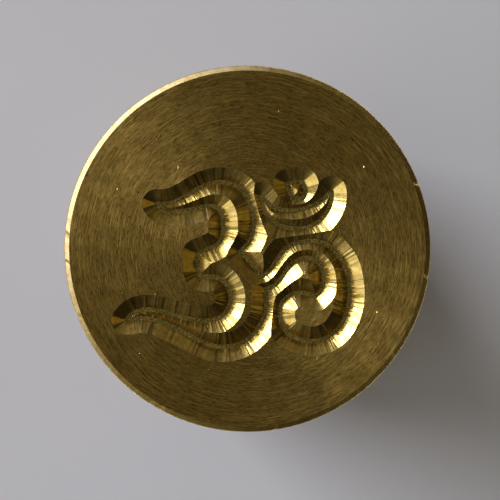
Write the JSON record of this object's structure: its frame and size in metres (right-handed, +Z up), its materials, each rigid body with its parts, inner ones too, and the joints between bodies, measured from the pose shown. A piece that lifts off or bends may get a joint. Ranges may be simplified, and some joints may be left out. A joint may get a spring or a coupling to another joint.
{
  "type": "seal stamp",
  "caption": "Hand seal stamp: round brass die with a deep engraved sign, screwed on a steel stud above a loose ring, a ferrule and a turned wooden handle.",
  "frame": {"origin": "centre of the handle's flat butt, which the stamp stands on", "axes": "+Z up along the turning axis, from the butt to the engraved face; +Y is the top of the engraved sign, +X its right side, seen looking down on the face"},
  "size_m": [0.025, 0.025, 0.0919],
  "materials": {
    "handle_wood": "satin oiled",
    "trim_brass": "polished turned",
    "stud_steel": "plain zinc",
    "die_brass": "fine turned, engraved face"
  },
  "bodies": {
    "grip": {"handle": "handle_wood", "ferrule": "trim_brass", "stud": "stud_steel"},
    "ring": {"trim_ring": "trim_brass"},
    "head": {"die_head": "die_brass"}
  },
  "joints": [
    {"name": "head_turn", "type": "hinge", "parent": "grip", "child": "ring", "pos_m": [0, 0, 0.0774], "axis": [0, 0, 1], "range_deg": [0, 2340.5]},
    {"name": "head_lift", "type": "slide", "parent": "ring", "child": "head", "axis": [0, 0, 1], "range_m": [0, 0.0065]}
  ],
  "couplings": [
    {"joint": "head_turn", "follows": "head_lift", "rad_per_m": 6283.2}
  ]
}
